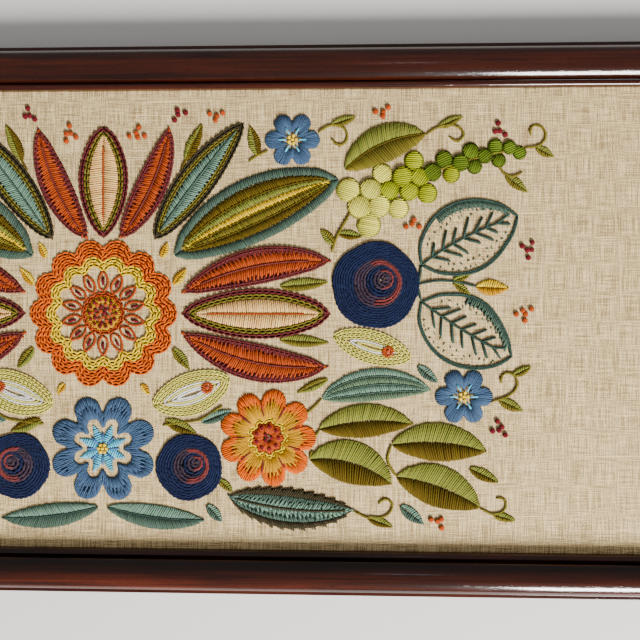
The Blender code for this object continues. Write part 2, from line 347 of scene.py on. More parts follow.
def mahogany_finish(looks):
    """Varnished mahogany: long red streaks and short dark pores under a clear gloss, with painted shade
    across the section.
    """
    finish = Finish("varnished_mahogany", Roughness=0.1, Coat_Weight=0.12, Coat_Roughness=0.28)
    finish.shader.inputs["IOR"].default_value = 1.46
    grain = finish.add("ShaderNodeUVMap", {"uv_map": "grain"})
    streaks = finish.noise(finish.stretched(grain, 9.0, 330.0), 1.0, 4.0, 0.6)
    figure = finish.noise(finish.stretched(grain, 5.0, 60.0), 1.0, 3.0, 0.55)
    pores = finish.noise(finish.stretched(grain, 160.0, 2600.0), 1.0, 2.0, 0.5).above(0.63, 0.05)
    ripple = finish.noise(finish.stretched(grain, 900.0, 420.0), 1.0, 2.0, 0.5)
    redness = streaks * 1.7 + figure * 1.5 - 1.15
    stops = [(0.15, looks.dark), (0.85, looks.red)]
    wood = finish.add("ShaderNodeValToRGB", {"stops": stops}, {0: redness})
    deep = opaque([channel * 0.35 for channel in looks.dark])
    # Painted shade across the moulding: the base colour is darkened from past the crest to the body's inner
    # foot, darkest there, and less on the inner bead and the groove.
    across = finish.add("ShaderNodeUVMap", {"uv_map": "profile"})
    profile = finish.add("ShaderNodeSeparateXYZ", None, {0: across})
    shades = {0.0: 1.0, 0.36: 0.95, 0.56: 0.55, 0.76: 0.24, 0.9: 0.62}
    painted_shade_stops = [(place, (shade,) * 3) for place, shade in shades.items()]
    painted_shade_across = finish.add("ShaderNodeValToRGB", {"stops": painted_shade_stops}, {0: profile})
    wood = finish.blend(1.0, finish.blend(pores * 0.7, wood, deep), painted_shade_across, "MULTIPLY")
    finish.feed("Base Color", wood)
    finish.bump(ripple + streaks * 0.4 - pores * 0.3, 0.4, 0.00006)
    return finish.material


def floor_finish(looks):
    finish = Finish("pale_floor", Roughness=0.75)
    place = finish.add("ShaderNodeTexCoord", output=3)
    speck = finish.noise(place, 18.0, 3.0)
    floor = opaque(looks.floor)
    shaded = opaque([channel * 0.985 for channel in looks.floor])
    finish.feed("Base Color", finish.blend(speck, floor, shaded))
    return finish.material


def piece_from(name, points, faces, material, flat=False):
    """A mesh object from points in millimetres, riding on the panel."""
    data = bpy.data.meshes.new(name)
    data.from_pydata(points * MM, [], faces)
    data.materials.append(material)
    if not flat:
        data.shade_smooth()
    piece = bpy.data.objects.new(name, data)
    bpy.context.scene.collection.objects.link(piece)
    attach(piece, BODY)
    return piece


def smooth_line(points, steps=10):
    """A smooth curve through every point, with some steps between each two."""
    points = np.asarray(points, float)
    before = 2 * points[0] - points[1]
    after = 2 * points[-1] - points[-2]
    held = np.vstack([before, points, after])
    t = np.linspace(0, 1, steps, endpoint=False)[:, None]
    spans = []
    for a, b, c, d in zip(held, held[1:], held[2:], held[3:]):
        bend = (2 * a - 5 * b + 4 * c - d) * t**2 + (3 * b - a - 3 * c + d) * t**3
        spans.append(0.5 * (2 * b + (c - a) * t + bend))
    return np.vstack([*spans, points[-1:]])


def lengths_along(line):
    steps = np.linalg.norm(np.diff(line, axis=0), axis=1)
    return np.concatenate([[0.0], np.cumsum(steps)])


def sample(line, run, places):
    return np.stack([np.interp(places, run, line[:, k]) for k in range(line.shape[1])], axis=1)


def evenly(line, spacing):
    """Points a spacing apart along a line, from its start to its end."""
    run = lengths_along(line)
    count = max(int(round(run[-1] / spacing)), 1)
    return sample(line, run, np.linspace(0, run[-1], count + 1))


def rungs(first, second, spacing, slant=0.0):
    """Matching points on two lines, a spacing apart along the longer of them."""
    run = max((lengths_along(line) for line in (first, second)), key=lambda each: each[-1])
    count = max(int(run[-1] / spacing), 1)
    places = (np.arange(count) + 0.5) * run[-1] / count
    ahead = np.clip(places + slant, 0, run[-1])
    return sample(first, run, places), sample(second, run, ahead)


def inset(edge, middle, depth):
    """The line at a depth inside an edge, as far as the shape is wide enough to hold it."""
    inward = middle - edge
    gap = np.linalg.norm(inward, axis=1)
    keep = gap > depth
    return (edge + inward * (depth / np.maximum(gap, 1e-6))[:, None])[keep]


def band(edge, middle, near, far):
    """The two lines that bound a band between two depths inside an edge."""
    inward = middle - edge
    gap = np.linalg.norm(inward, axis=1)
    keep = gap > near + 0.4
    unit = inward / np.maximum(gap, 1e-6)[:, None]
    outer = edge + unit * near
    inner = edge + unit * np.minimum(far, gap)[:, None]
    return outer[keep], inner[keep]


def turned(vector, degrees):
    angle = math.radians(degrees)
    cosine, sine = math.cos(angle), math.sin(angle)
    return np.array([vector[0] * cosine - vector[1] * sine, vector[0] * sine + vector[1] * cosine])


def pad_outline(node):
    """The outline of a raised pad's flat back, in millimetres, in order around it."""
    mesh = frame["nodes"][node].data
    spots, edges = {}, {}
    for face in mesh.polygons:
        if face.normal.z > -0.9:
            continue
        corners = []
        for vertex in face.vertices:
            place = mesh.vertices[vertex].co / MM
            key = (round(place.x, 2), round(place.y, 2))
            spots[key] = (place.x, place.y)
            corners.append(key)
        for here, there in zip(corners, corners[1:] + corners[:1]):
            edges[here, there] = True
    onward = {here: there for here, there in edges if (there, here) not in edges}
    start = min(onward)
    loop = [start]
    while onward[loop[-1]] != start:
        loop.append(onward[loop[-1]])
    return np.array([spots[key] for key in loop])


class Leaf:
    """A leaf or petal: its two edges and its middle line, from base to tip, with matching points."""

    POINTS = 81

    def __init__(self, node):
        loop = pad_outline(node)
        self.side = -1.0 if node.endswith("_left") else 1.0
        apart = np.linalg.norm(loop[:, None] - loop[None], axis=2)
        ends = np.unravel_index(apart.argmax(), apart.shape)
        base, tip = sorted(ends, key=lambda k: np.linalg.norm(loop[k]))
        loop = np.roll(loop, -base, axis=0)
        reach = (tip - base) % len(loop)
        first = smooth_line(loop[: reach + 1])
        second = smooth_line(np.vstack([loop[reach:], loop[:1]])[::-1])
        turn = np.cross(first[-1] - first[0], first[len(first) // 2] - first[0])
        first, second = (self.even(edge) for edge in (first, second))
        self.upper, self.lower = (first, second) if turn * self.side > 0 else (second, first)
        self.middle = (self.upper + self.lower) / 2

    @classmethod
    def even(cls, edge):
        places = np.linspace(0, len(edge) - 1, cls.POINTS)
        return sample(edge, np.arange(len(edge)), places)

    def edges(self):
        return self.upper, self.lower

    def across(self, share):
        """A line from base to tip: 1 is the upper edge, 0 the middle and -1 the lower edge."""
        edge = self.upper if share > 0 else self.lower
        return self.middle + (edge - self.middle) * abs(share)


class Round:
    """A flower: its centre and its outline, which starts and ends at the same point."""

    def __init__(self, node):
        loop = pad_outline(node)
        self.side = -1.0 if node.endswith("_left") else 1.0
        self.centre = loop.mean(axis=0)
        spokes = loop - self.centre
        order = np.argsort(np.arctan2(spokes[:, 1], spokes[:, 0] * self.side))
        loop = loop[order]
        closed = np.vstack([loop[-1:], loop, loop[:2]])
        self.outline = smooth_line(closed, 5)[5:-5]
        self.reach = np.linalg.norm(self.outline - self.centre, axis=1).mean()

    def ring(self, share, shift=(0.0, 0.0)):
        """The outline scaled towards the centre, which may be shifted."""
        middle = self.centre + np.array(shift) * (1 - share)
        return middle + (self.outline - self.centre) * share

    def spot(self, radius, degrees):
        return self.centre + turned((radius, 0.0), degrees) * np.array([self.side, 1.0])

    def petal(self, inner, outer, degrees, half_width):
        """The two sides of a petal that points outwards, as lines from its root to its tip."""
        stations = np.linspace(0, 1, 15)
        reach = inner + (outer - inner) * stations
        width = half_width * np.sin(math.pi * stations**0.8) ** 0.85
        both = []
        for sign in (1, -1):
            local = np.stack([reach, sign * width], axis=1)
            points = [turned(point, degrees) * np.array([self.side, 1.0]) for point in local]
            both.append(self.centre + np.array(points))
        return both


class Wool:
    """Gathers the strands of one piece, in millimetres, and makes one mesh of them."""

    # END_SHADE and UNDER_SHADE are painted shade: how dark a strand is painted at its ends, where it dives
    # into the linen, and along its sides and underside.
    END_SHADE = 0.6
    UNDER_SHADE = 0.3
    SHADE_SPREAD = 0.09
    SHORT = 6.5

    def __init__(self, seed):
        self.random = np.random.default_rng(seed)
        scene = bpy.context.scene
        self.sizes = scene.crewel_stitches
        self.palette = scene.crewel_wools
        self.under_shade = self.UNDER_SHADE
        self.points, self.faces, self.colours, self.lay = [], [], [], []
        self.count = 0

    def colour(self, name):
        return np.array(getattr(self.palette, name))

    def keep(self, points, faces, colours, lay):
        self.points.append(points)
        self.colours.append(colours)
        self.lay.append(lay)
        self.faces.append(faces + self.count)
        self.count += len(points)

    def tube(self, path, widths, height, colour, sides=6, closed=False):
        """A strand along a path, flattened to a width and a height, with faces of four corners."""
        path = np.asarray(path, float)
        rings = len(path)
        ahead = np.roll(path, -1, axis=0) - np.roll(path, 1, axis=0)
        if not closed:
            ahead[0], ahead[-1] = path[1] - path[0], path[-1] - path[-2]
        ahead /= np.linalg.norm(ahead, axis=1)[:, None]
        sideways = np.stack([ahead[:, 1], -ahead[:, 0], np.zeros(rings)], axis=1)
        sideways /= np.maximum(np.linalg.norm(sideways, axis=1), 1e-6)[:, None]
        up = np.cross(sideways, ahead)
        angles = np.arange(sides) * math.tau / sides + math.pi / sides
        half = np.broadcast_to(np.asarray(widths, float) / 2, (rings,))
        tall = half * (height / max(half.max() * 2, 1e-6))
        ring = sideways[:, None] * (np.cos(angles)[None, :, None] * half[:, None, None])
        ring = ring + up[:, None] * (np.sin(angles)[None, :, None] * tall[:, None, None])
        points = (path[:, None] + ring).reshape(-1, 3)
        # Painted shade: the first and last rings are darkened where the strand dives into the linen, and the
        # sides and underside by the under shade. The spread is tone that differs at random from strand to
        # strand.
        spread = self.random.normal(1.0, self.SHADE_SPREAD) + self.random.normal(0, 0.025, 3)
        lengthwise = np.ones(rings)
        if not closed:
            lengthwise[0] = lengthwise[-1] = self.END_SHADE
        around = self.under_shade + (1 - self.under_shade) * np.clip(np.sin(angles), 0, 1) ** 0.9
        shade = (lengthwise[:, None] * around[None]).reshape(-1, 1)
        colours = np.clip(colour * spread, 0, 1)[None] * shade
        run = lengths_along(path) + self.random.uniform(0, 5)
        round_share = np.tile(np.arange(sides) / sides, rings)
        lay = np.stack([np.repeat(run / 10, sides), round_share], axis=1)
        grid = np.arange(rings * sides).reshape(rings, sides)
        beside = np.roll(grid, -1, axis=1)
        following = np.roll(grid, -1, axis=0)
        beyond = np.roll(beside, -1, axis=0)
        walls = np.stack([grid, following, beyond, beside], axis=2)
        faces = [walls.reshape(-1, 4)]
        if not closed:
            faces = [walls[:-1].reshape(-1, 4)]
            pairs = [(k, sides - 1 - k) for k in range(sides // 2)]
            for (a, b), (c, d) in zip(pairs, pairs[1:]):
                first, last = grid[0], grid[-1]
                faces.append(np.array([[first[a], first[c], first[d], first[b]]]))
                faces.append(np.array([[last[b], last[d], last[c], last[a]]]))
        self.keep(points, np.vstack(faces), colours, lay)

    def ground(self, first, second, colour, shade=0.52):
        """A darkened layer on the linen between two lines, so that no linen shows between stitches: painted
        shadow in the gaps between the strands.
        """
        if len(first) < 3:
            return
        run = max((lengths_along(line) for line in (first, second)), key=lambda each: each[-1])
        places = np.linspace(0, run[-1], max(int(run[-1] / 2.5), 3))
        near, far = sample(first, run, places), sample(second, run, places)
        middle = len(places) // 2
        along, across = near[middle] - near[middle - 1], far[middle] - near[middle]
        if along[0] * across[1] - along[1] * across[0] < 0:
            near, far = far, near
        flat = np.vstack([near * 0.94 + far * 0.06, far * 0.94 + near * 0.06])
        points = np.column_stack([flat, np.full(len(flat), LINEN_TOP + 0.1)])
        count = len(places)
        k = np.arange(count - 1)
        faces = np.stack([k, k + 1, k + 1 + count, k + count], axis=1)
        # The layer's colour is the wool's, darkened by the shade factor: painted shadow.
        tone = self.colour(colour) * shade
        colours = np.repeat(tone[None], len(points), axis=0)
        self.keep(points, faces, colours, points[:, :2] / 10)

    def stitch(self, start, end, colour, width=None, level=0.0, lift=None, sides=6):
        """One straight stitch, which comes up through the linen, lies over it and goes down."""
        width = width or self.sizes.strand
        lift = self.sizes.lift if lift is None else lift
        start, end = np.asarray(start, float), np.asarray(end, float)
        long = np.linalg.norm(end - start)
        if long < 0.7:
            return
        dive = min(0.9 / long, 0.24)
        profile = np.array([
            (0.0, -0.45, 0.6),
            (dive, 0.72, 0.95),
            (0.5, 1.0, 1.0),
            (1 - dive, 0.72, 0.95),
            (1.0, -0.45, 0.6),
        ])
        if long < self.SHORT:
            profile = np.delete(profile, 2, axis=0)
        shares, rise, widths = profile.T
        sway = self.random.normal(0, 0.05)
        flat = start + (end - start) * shares[:, None]
        heights = LINEN_TOP + level + rise * lift * min(1.0, 0.55 + long / 12) + sway
        widths = widths * width * self.random.normal(1.0, 0.06)
        path = np.column_stack([flat, heights])
        self.tube(path, widths, self.sizes.height * width / self.sizes.strand, colour, sides)

    def satin(self, first, second, colour, other=None, slant=0.0, ragged=(0.0, 0.0), level=0.0, lift=None):
        """Stitches side by side from one line to the other. Ragged ends are long and short by turns."""
        if len(first) < 3:
            return
        # Painted shadow under the stitches, dark in the gaps between them.
        self.ground(first, second, colour)
        starts, ends = rungs(first, second, self.sizes.pitch, slant)
        near = self.colour(colour)
        far = self.colour(other or colour)
        for k, (start, end) in enumerate(zip(starts, ends)):
            jitter = self.random.normal(0, 0.11, 4)
            turn = k % 2
            share = k / max(len(starts) - 1, 1)
            from_start = ragged[0] * (turn - 0.5) + self.random.uniform(-0.4, 0.4) * ragged[0]
            from_end = ragged[1] * (0.5 - turn) + self.random.uniform(-0.4, 0.4) * ragged[1]
            long = max(np.linalg.norm(end - start), 1e-6)
            along = (end - start) / long
            a = start + along * from_start + jitter[:2]
            b = end + along * from_end + jitter[2:]
            self.stitch(a, b, near + (far - near) * share, level=level, lift=lift)

    def shaded(self, lines, colours, ragged=2.2, slant=0.0):
        """Bands of satin, one inside the other, whose stitches are long and short where they meet."""
        last = len(colours) - 1
        for k, (outer, inner, colour) in enumerate(zip(lines, lines[1:], colours)):
            ends = (ragged if k else 0.0, ragged if k < last else 0.0)
            lap = (outer - inner) * (0.2 if k else 0.0)
            self.satin(outer + lap, inner, colour, slant=slant, ragged=ends, level=0.04 * k)

    def chain(self, line, colour, level=0.0, width=None):
        """A row of chain stitch: links that each start inside the one before."""
        line = np.asarray(line, float)
        if len(line) < 4:
            return
        width = width or self.sizes.chain_width
        strand = width * 0.38
        spots = evenly(line, self.sizes.chain_link * width / self.sizes.chain_width)
        shares = np.array([0.0, 0.28, 0.66, 1.0])
        swell = np.array([0.10, 0.88, 1.0, 0.12]) * (width - strand) / 2
        rise = np.array([-0.3, 0.5, 0.62, 0.15])
        tone = self.colour(colour)
        run = np.gradient(line, axis=0)
        side = np.stack([-run[:, 1], run[:, 0]], axis=1)
        side /= np.maximum(np.linalg.norm(side, axis=1), 1e-6)[:, None]
        # Painted shadow under the links.
        self.ground(line + side * width * 0.36, line - side * width * 0.36, colour, 0.36)
        for start, end in zip(spots, spots[1:]):
            run = end - start
            across = np.array([-run[1], run[0]]) / max(np.linalg.norm(run), 1e-6)
            reach = start + run * (shares * 1.2 - 0.06)[:, None]
            for sign in (1, -1):
                flat = reach + across * (sign * swell)[:, None]
                heights = LINEN_TOP + level + rise
                path = np.column_stack([flat, heights])
                self.tube(path, np.array([0.75, 0.98, 1.0, 0.8]) * strand * 1.06, 0.95, tone)

    def stem(self, line, colour, level=0.0, width=None, step=2.3):
        """Stem stitch: slanting stitches, each starting half way along the one before."""
        width = width or self.sizes.stem_width
        line = np.asarray(line, float)
        if len(line) < 2:
            return
        spots = evenly(line, step)
        tone = self.colour(colour)
        if len(spots) < 3:
            self.stitch(spots[0], spots[-1], tone, width, level, 0.5, sides=4)
            return
        for start, end in zip(spots, spots[2:]):
            run = end - start
            across = np.array([-run[1], run[0]]) / max(np.linalg.norm(run), 1e-6) * width * 0.24
            self.stitch(start - across, end + across, tone, width, level, 0.6, sides=6)

    def knot(self, place, colour, size=None, level=0.0):
        """A French knot: a fat turn of wool standing on the cloth."""
        size = size or self.sizes.knot
        angles = np.linspace(0, math.tau, 8, endpoint=False) + self.random.uniform(0, 1)
        radius = size * 0.28 * self.random.normal(1.0, 0.06)
        rise = LINEN_TOP + level + 0.55
        ring = np.column_stack([np.cos(angles) * radius, np.sin(angles) * radius, np.sin(angles) * 0.15])
        path = ring + np.array([*place, rise])
        tone = self.colour(colour)
        self.tube(path, np.full(8, size * 0.46), 1.2, tone, closed=True)
        run = turned((size * 0.34, 0.0), self.random.uniform(0, 180))
        self.stitch(place - run, place + run, tone, size * 0.42, level + 0.35, 0.75)

    def seeds(self, places, colour, size=2.0):
        """Small scattered stitches, each lying its own way."""
        tone = self.colour(colour)
        for place in places:
            run = turned((size / 2, 0.0), self.random.uniform(0, 180))
            self.stitch(place - run, place + run, tone, 1.0, 0.0, 0.4, sides=4)

    def finish(self, name, nodes=(), slot=None):
        points = np.vstack(self.points)
        faces = np.vstack(self.faces)
        piece = piece_from(name, points, faces, wool_finish())
        mesh = piece.data
        colours = np.ones((len(points), 4))
        colours[:, :3] = np.vstack(self.colours)
        shades = mesh.color_attributes.new("wool", "FLOAT_COLOR", "POINT")
        shades.data.foreach_set("color", colours.ravel())
        corners = np.zeros(len(mesh.loops), dtype=np.int32)
        mesh.loops.foreach_get("vertex_index", corners)
        layer = mesh.uv_layers.new(name="lay")
        layer.uv.foreach_set("vector", np.vstack(self.lay)[corners].ravel())
        if nodes:
            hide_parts(*nodes)
        return piece


def slot_of(node):
    """The material slot that the record gives a node."""
    for part in frame["record"]["subparts"]:
        if part["node"] == node:
            return part["material_slot"]
    raise RuntimeError(f"the record has no sub-part {node}")


def nodes_like(*names):
    """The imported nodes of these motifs, on the middle line or on both sides, in a fixed order."""
    wanted = set(names) | {f"{name}_{side}" for name in names for side in SIDES}
    return [node for node in sorted(frame["nodes"]) if node in wanted]


def work_motifs(recipe, shape, names):
    """Runs one stitch recipe on each motif with one of the names."""
    nodes = nodes_like(*names)
    if not nodes:
        raise RuntimeError(f"the packed model has none of {names}")
    for node in nodes:
        seed = sum(ord(letter) for letter in node)
        wool = Wool(seed)
        recipe(wool, shape(node))
        wool.finish(f"stitched_{node}", [node], slot_of(node))


def peach_petal(wool, leaf):
    """A row of maroon chain and one of olive around a peach satin heart with a seam."""
    for edge in leaf.edges():
        # Painted shadow in darkened brick under this half's stitches.
        wool.ground(edge, leaf.middle, "brick")
        wool.chain(inset(edge, leaf.middle, 1.8), "maroon")
        wool.chain(inset(edge, leaf.middle, 5.3), "olive")
        outer, inner = band(edge, leaf.middle, 7.0, 60.0)
        wool.satin(outer, inner, "peach", slant=1.2)
    wool.stem(leaf.across(0.0)[14:-14], "rust", level=0.7, width=0.9)


def maroon_petal(wool, leaf):
    """Maroon around both edges, shaded through brick to rust at the middle line."""
    for edge in leaf.edges():
        half = edge + (leaf.middle - edge) * 0.45
        wool.shaded([edge, half, leaf.middle], ["maroon", "rust"], ragged=2.2, slant=1.8)
        wool.chain(inset(edge, leaf.middle, 1.5), "maroon", level=0.35, width=2.8)
    wool.stem(leaf.middle[10:-10], "brick", level=0.75, width=1.1)


def striped_leaf(wool, leaf):
    """A teal border, then stripes of olive, sage and yellow that meet at both ends."""
    for edge in leaf.edges():
        outer, inner = band(edge, leaf.middle, 0.0, 6.4)
        wool.satin(outer, inner, "teal", slant=-0.8)
    upper, lower = inset(leaf.upper, leaf.middle, 6.2), inset(leaf.lower, leaf.middle, 6.2)
    short = min(len(upper), len(lower))
    upper, lower = upper[:short], lower[:short]
    stripes = ["dark_olive", "sage", "yellow", "olive", "dark_olive"]
    cuts = [0.0, 0.25, 0.42, 0.6, 0.8, 1.0]
    for stripe, start, end in zip(stripes, cuts, cuts[1:]):
        first = upper + (lower - upper) * start
        second = upper + (lower - upper) * end
        wool.satin(first, second, stripe, slant=1.0, ragged=(0.9, 0.9))
    for cut in (0.25, 0.6, 0.8):
        wool.stem((upper + (lower - upper) * cut)[4:-4], "dark_olive", level=0.5, width=0.8)


def serrated(edge_colour, border, heart, vein):
    """A recipe for a leaf with a bumpy dark edge, a border inside it and a pale heart."""

    def recipe(wool, leaf):
        for edge in leaf.edges():
            # Painted shadow under this half's stitches.
            wool.ground(edge, leaf.middle, edge_colour, 0.6)
            wool.chain(inset(edge, leaf.middle, 1.0), edge_colour, width=3.4)
            wool.chain(inset(edge, leaf.middle, 3.9), border, width=3.0)
            outer, inner = band(edge, leaf.middle, 5.2, 60.0)
            if len(outer) > 3:
                wool.satin(outer, inner, heart, slant=-2.4, ragged=(1.2, 0.0))
        wool.stem(leaf.middle[6:-6], vein, level=0.7, width=1.2)

    return recipe


def jagged(outer_colour, middle_colour, heart):
    """A recipe for a leaf in long and short stitches that lie aslant, ragged at the edge."""

    def recipe(wool, leaf):
        for edge in leaf.edges():
            cuts = [edge + (leaf.middle - edge) * share for share in (0.0, 0.4, 0.72, 1.0)]
            starts, ends = rungs(cuts[0], cuts[1], wool.sizes.pitch, -2.6)
            # Painted shadow under the outer band's stitches.
            wool.ground(cuts[0], cuts[1], outer_colour)
            for k, (start, end) in enumerate(zip(starts, ends)):
                tooth = (k % 5) / 5 * 3.0 - 0.9
                tip = start + (start - end) / max(np.linalg.norm(start - end), 1e-6) * tooth
                wool.stitch(tip, end, wool.colour(outer_colour))
            colours = [middle_colour, heart]
            wool.shaded([cuts[1] * 1.15 - cuts[2] * 0.15, cuts[2], cuts[3]], colours, 2.6, -2.2)
        wool.stem(leaf.middle[4:-4], outer_colour, level=0.7, width=1.2)

    return recipe


def two_tone(light, dark, vein=None):
    """A recipe for a leaf of two slanting satin halves, one lighter than the other."""

    def recipe(wool, leaf):
        wool.satin(leaf.middle, leaf.upper, light, slant=3.4)
        wool.satin(leaf.middle, leaf.lower, dark, slant=3.4)
        if vein:
            wool.stem(leaf.middle, vein, level=0.6, width=0.9)

    return recipe


def banded_leaf(wool, leaf):
    """Four lengthwise bands of slanting grey-green satin, with thin darker seams between them."""
    shares = (1.0, 0.5, 0.0, -0.5, -1.0)
    lines = [leaf.across(share) for share in shares]
    for k, (first, second) in enumerate(zip(lines, lines[1:])):
        wool.satin(first, second, "grey_green" if k % 2 else "light_teal", slant=1.6)
    for line in lines[1:-1]:
        wool.stem(line[5:-5], "teal", level=0.45, width=0.8)


def veined_leaf(wool, leaf):
    """An outline, a midrib and fat veins in dark green, on bare linen with seeding between them."""
    for edge in leaf.edges():
        wool.stem(edge, "dark_teal", width=1.5)
        wool.stem(inset(edge, leaf.middle, 1.2), "dark_teal", width=1.2)
    wool.stem(leaf.middle[:-12], "dark_teal", level=0.1, width=1.5)
    tone = wool.colour("dark_teal")
    for start in range(10, 66, 9):
        for share in (0.42, -0.42):
            reach = share * wool.random.uniform(0.8, 1.25)
            ahead = min(start + int(wool.random.integers(7, 12)), leaf.POINTS - 2)
            root, tip = leaf.middle[start], leaf.across(reach)[ahead]
            wool.stitch(root, tip, tone, 1.9, 0.0, 0.5)
            wool.stitch(root + (tip - root) * 0.2, root + (tip - root) * 0.85, tone, 1.5, 0.3, 0.45)
    shade = [line[26:74] for line in band(leaf.upper, leaf.middle, 0.8, 6.0)]
    wool.satin(*shade, "teal", slant=1.0, ragged=(0.0, 2.2))
    for share in (-0.82, -0.62, 0.6):
        line = evenly(leaf.across(share)[12:-12], 4.6)
        places = line + wool.random.normal(0, 0.6, line.shape)
        wool.seeds(places, "grey_green", 1.9)


def bud(wool, leaf):
    """Cream chain rows around off-white lines, with a rust star near the tip."""
    for edge in leaf.edges():
        # Painted shadow under this half's chain rows.
        wool.ground(edge, leaf.middle, "cream", 0.55)
        for row in range(3):
            wool.chain(inset(edge, leaf.middle, 1.3 + 2.5 * row), "cream", width=2.6)
        for depth in (8.4, 9.8, 11.2, 12.6):
            line = inset(edge, leaf.middle, depth)
            if len(line) > 8:
                wool.stem(line, "white" if depth != 9.8 else "cream", width=1.4)
    heart = leaf.middle[int(leaf.POINTS * 0.7)]
    wool.knot(heart, "rust", 2.8, level=0.7)
    for k in range(16):
        ray = turned((4.4, 0.0), 22.5 * k)
        wool.stitch(heart + ray * 0.3, heart + ray, wool.colour("rust"), 1.1, 0.7, 0.55)


def great_bloom(wool, bloom):
    """Chained rim in orange and yellow, outlined petals with dashes, and a heart of knots."""
    reach = bloom.reach
    # Painted shadow under the rim's chain rows.
    wool.ground(bloom.ring(1.0), bloom.ring(1 - 11 / reach), "orange", 0.55)
    wool.ground(bloom.ring(1 - 11 / reach), bloom.ring(1 - 17 / reach), "gold", 0.6)
    for depth in (1.6, 5.1, 8.6):
        wool.chain(bloom.ring(1 - depth / reach), "orange")
    for depth in (12.1, 15.6):
        wool.chain(bloom.ring(1 - depth / reach), "yellow")
    petals = 14
    for k in range(petals):
        angle = 360 * (k + 0.5) / petals
        for line in bloom.petal(14.5, 28.5, angle, 3.4):
            wool.stem(line, "rust", width=1.5)
        root, tip = bloom.spot(19.0, angle), bloom.spot(24.2, angle)
        wool.stitch(root, tip, wool.colour("dark_red"), 2.0, 0.0, 0.8)
    wool.chain(bloom.ring(13.0 / reach), "rust", width=3.2)
    wool.satin(bloom.ring(11.6 / reach), bloom.ring(6.6 / reach), "gold")
    spread = math.degrees(math.pi * (3 - math.sqrt(5)))
    for k in range(19):
        place = bloom.spot(1.75 * math.sqrt(k + 0.3), spread * k)
        wool.knot(place, "rust" if k % 3 else "dark_red", 2.9, level=0.25)
    for k in range(14):
        wool.knot(bloom.spot(9.0, 360 * k / 14), "dark_red", 2.4, level=0.7)


def star_flower(wool, star):
    """Two bands of blue around bare linen, with a sky-blue star at the heart."""
    rings = [star.ring(share) for share in (1.0, 0.78, 0.56)]
    wool.shaded(rings, ["slate_blue", "slate_blue"], ragged=3.0)
    for k in range(8):
        angle = 45 * k
        upper, lower = star.petal(3.0, 16.5, angle + 22.5, 2.9)
        wool.satin(upper, lower, "sky_blue")
        short = [star.spot(4.0, angle), star.spot(11.0, angle)]
        wool.stitch(*short, wool.colour("mid_blue"), 1.5, 0.0, 0.7)
    for k in range(7):
        wool.knot(star.spot(2.7 if k else 0.0, 60 * k), "yellow", 2.6, level=0.6)


def small_star(wool, star):
    wool.satin(star.ring(1.0), star.ring(0.40), "slate_blue", ragged=(0.0, 1.2))
    for k in range(6):
        line = [star.spot(4.0, 60 * k), star.spot(9.5, 60 * k)]
        wool.stitch(*line, wool.colour("sky_blue"), 1.5, 0.6, 0.6)
    for k in range(6):
        wool.knot(star.spot(2.6 if k else 0.0, 72 * k), "yellow", 2.5, level=0.2)


def daisy(wool, flower):
    """Long and short petals from orange to gold around a ring of yellow chain and red knots."""
    rings = [flower.ring(share) for share in (1.0, 0.72, 0.41)]
    wool.shaded(rings, ["orange", "gold"], ragged=3.6)
    for k in range(9):
        line = np.array([flower.spot(14.0, 40 * k + 20), flower.spot(23.5, 40 * k + 20)])
        wool.stem(line, "brick", level=0.7, width=1.1)
    wool.chain(flower.ring(0.40), "yellow", width=3.0)
    wool.satin(flower.ring(0.34), flower.ring(0.08), "rust")
    for k in range(9):
        wool.knot(flower.spot(7.4, 40 * k), "dark_red", 2.7, level=0.5)
    for k in range(4):
        wool.knot(flower.spot(2.4 if k else 0.0, 120 * k), "dark_red", 2.6, level=0.6)


def rose(wool, flower):
    """Close rows of wool that wind in to a point off centre: navy, plum, and two turns of brick."""
    shift = np.array([0.20 * flower.reach * flower.side, 0.14 * flower.reach])
    # Painted shadow under the rows of stem stitch.
    wool.ground(flower.ring(0.98), flower.ring(0.02, shift), "navy", 0.5)
    rows = int(flower.reach / 1.5)
    for row in range(rows):
        share = 1 - (row + 0.5) / rows
        pull = shift * (1 - share) * 1.6
        ring = flower.ring(share, pull)[:-1]
        ring = np.roll(ring, -((row * 37) % len(ring)), axis=0)
        ring = np.vstack([ring, ring[:3]])
        colour = "navy" if share > 0.56 or 0.26 < share < 0.36 else "plum"
        wool.stem(ring, colour, width=1.9, step=3.4, level=0.03 * (row % 2))
    for share in (0.50, 0.44, 0.22):
        ring = flower.ring(share, shift * (1 - share) * 1.6)
        arc = ring[int(len(ring) * 0.18) : int(len(ring) * 0.80)]
        wool.stem(arc, "brick", level=0.55, width=1.5, step=3.0)


def satin_disc(wool, centre, radius, colour, degrees, level=0.0, tint=1.0):
    """A padded round of satin stitches that all lie one way, with painted shade: a dark rim where it dips,
    and stitches darker towards that rim.
    """
    pitch = wool.sizes.pitch * 0.86
    count = max(int(2 * radius / pitch), 3)
    around = np.linspace(0, math.tau, 20, endpoint=False)
    rim = centre + radius * np.column_stack([np.cos(around), np.sin(around)])
    tone = wool.colour(colour) * tint
    # Two closed rings darkened as painted shade: one along the rim, as shadow where the disc dips, and a
    # padding ring under the stitches.
    for share, height, shade in ((0.98, 0.25, 0.3), (0.5, 0.45, 0.5)):
        ring = np.column_stack([centre + (rim - centre) * share, np.full(20, LINEN_TOP + level + height)])
        wool.tube(ring, radius * (1.06 - share) + 0.9, 0.6, tone * shade, closed=True)
    for k in range(count):
        offset = ((k + 0.5) / count * 2 - 1) * radius
        half = math.sqrt(max(radius**2 - offset**2, 0.0)) * 0.97
        ends = [centre + turned((reach, offset), degrees) for reach in (-half, half)]
        lift = wool.sizes.lift * (0.9 + 0.9 * half / radius)
        # Painted shade: stitches near the rim are darker, so that the disc looks domed.
        shade = 0.62 + 0.38 * (half / radius) ** 0.7
        wool.stitch(*ends, tone * shade, width=pitch * 1.16, level=level, lift=lift)


